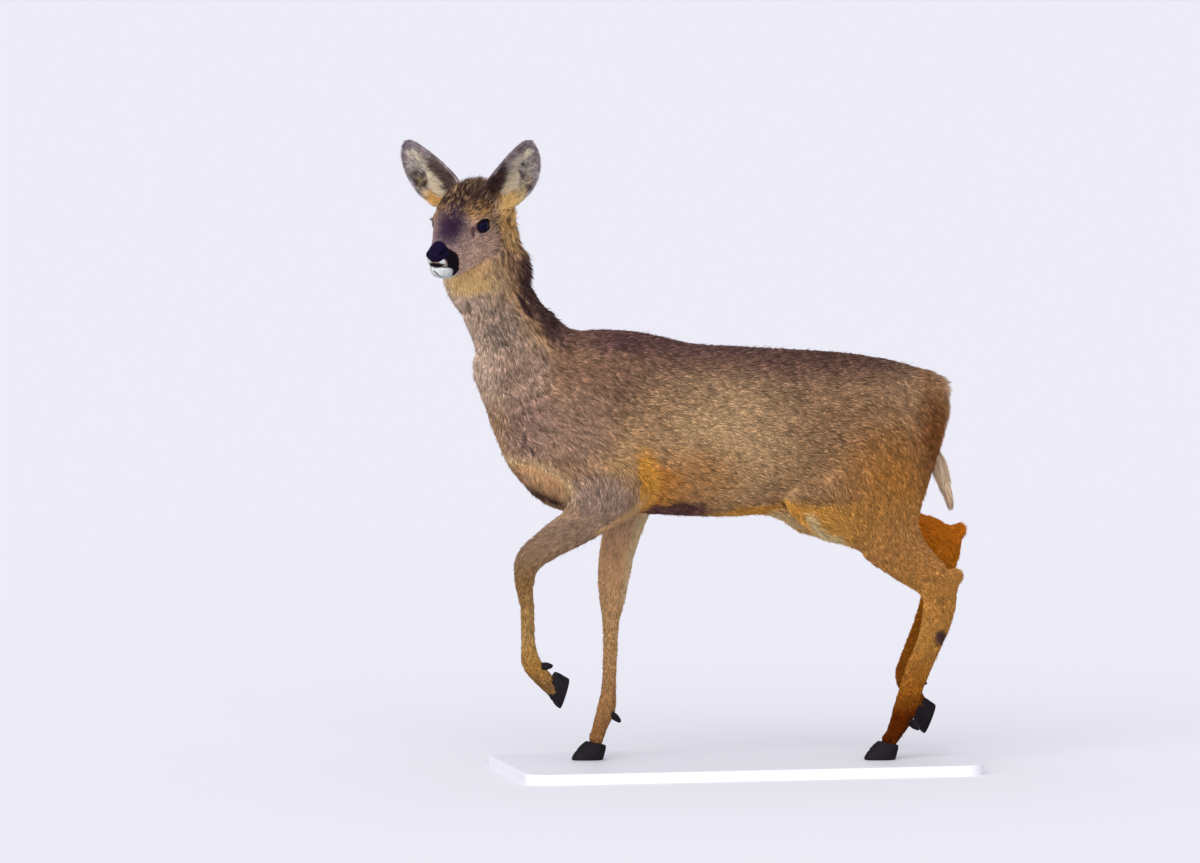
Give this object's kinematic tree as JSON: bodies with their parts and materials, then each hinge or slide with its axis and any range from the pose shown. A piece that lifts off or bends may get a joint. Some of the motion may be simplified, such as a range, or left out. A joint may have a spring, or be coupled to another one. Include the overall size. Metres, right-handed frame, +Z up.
{
  "type": "roe deer",
  "caption": "Standing roe deer doe in winter coat, head turned to its left, one forefoot lifted in a slow walk, on a low flat base.",
  "frame": {"origin": "middle of the bounding box's underside, on the base's underside", "axes": "+Z up, the animal faces -X, its left side is towards -Y"},
  "size_m": [0.8692, 0.32, 0.9516],
  "materials": {
    "coat": "short dense winter hair, grey-brown, peppered",
    "rump_hair": "long loose cream hair",
    "horn": "black horn, dull sheen",
    "eye": "wet, very glossy",
    "nose_leather": "moist, finely grained",
    "stand_paint": "matt pale grey paint"
  },
  "bodies": {
    "root": {"cannon_fore_left": "coat", "cannon_fore_right": "coat", "cannon_hind_left": "coat", "cannon_hind_right": "coat", "chest": "coat", "claw_fore_left_left": "horn", "claw_fore_left_right": "horn", "claw_fore_right_left": "horn", "claw_fore_right_right": "horn", "claw_hind_left_left": "horn", "claw_hind_left_right": "horn", "claw_hind_right_left": "horn", "claw_hind_right_right": "horn", "dewclaw_fore_left_left": "horn", "dewclaw_fore_left_right": "horn", "dewclaw_fore_right_left": "horn", "dewclaw_fore_right_right": "horn", "dewclaw_hind_left_left": "horn", "dewclaw_hind_left_right": "horn", "dewclaw_hind_right_left": "horn", "dewclaw_hind_right_right": "horn", "ear_left": "coat", "ear_right": "coat", "eye_left": "eye", "eye_right": "eye", "forearm_left": "coat", "forearm_right": "coat", "gaskin_hind_left": "coat", "gaskin_hind_right": "coat", "head": "coat", "hock_hind_left": "coat", "hock_hind_right": "coat", "knee_fore_left": "coat", "knee_fore_right": "coat", "loin": "coat", "lower_jaw": "coat", "muzzle": "coat", "neck_lower": "coat", "neck_upper": "coat", "nose": "nose_leather", "pastern_fore_left": "coat", "pastern_fore_right": "coat", "pastern_hind_left": "coat", "pastern_hind_right": "coat", "ribs": "coat", "rump": "coat", "shoulder_left": "coat", "shoulder_right": "coat", "stand_base": "stand_paint", "tail_tuft": "rump_hair", "thigh_left": "coat", "thigh_right": "coat"}
  },
  "joints": []
}
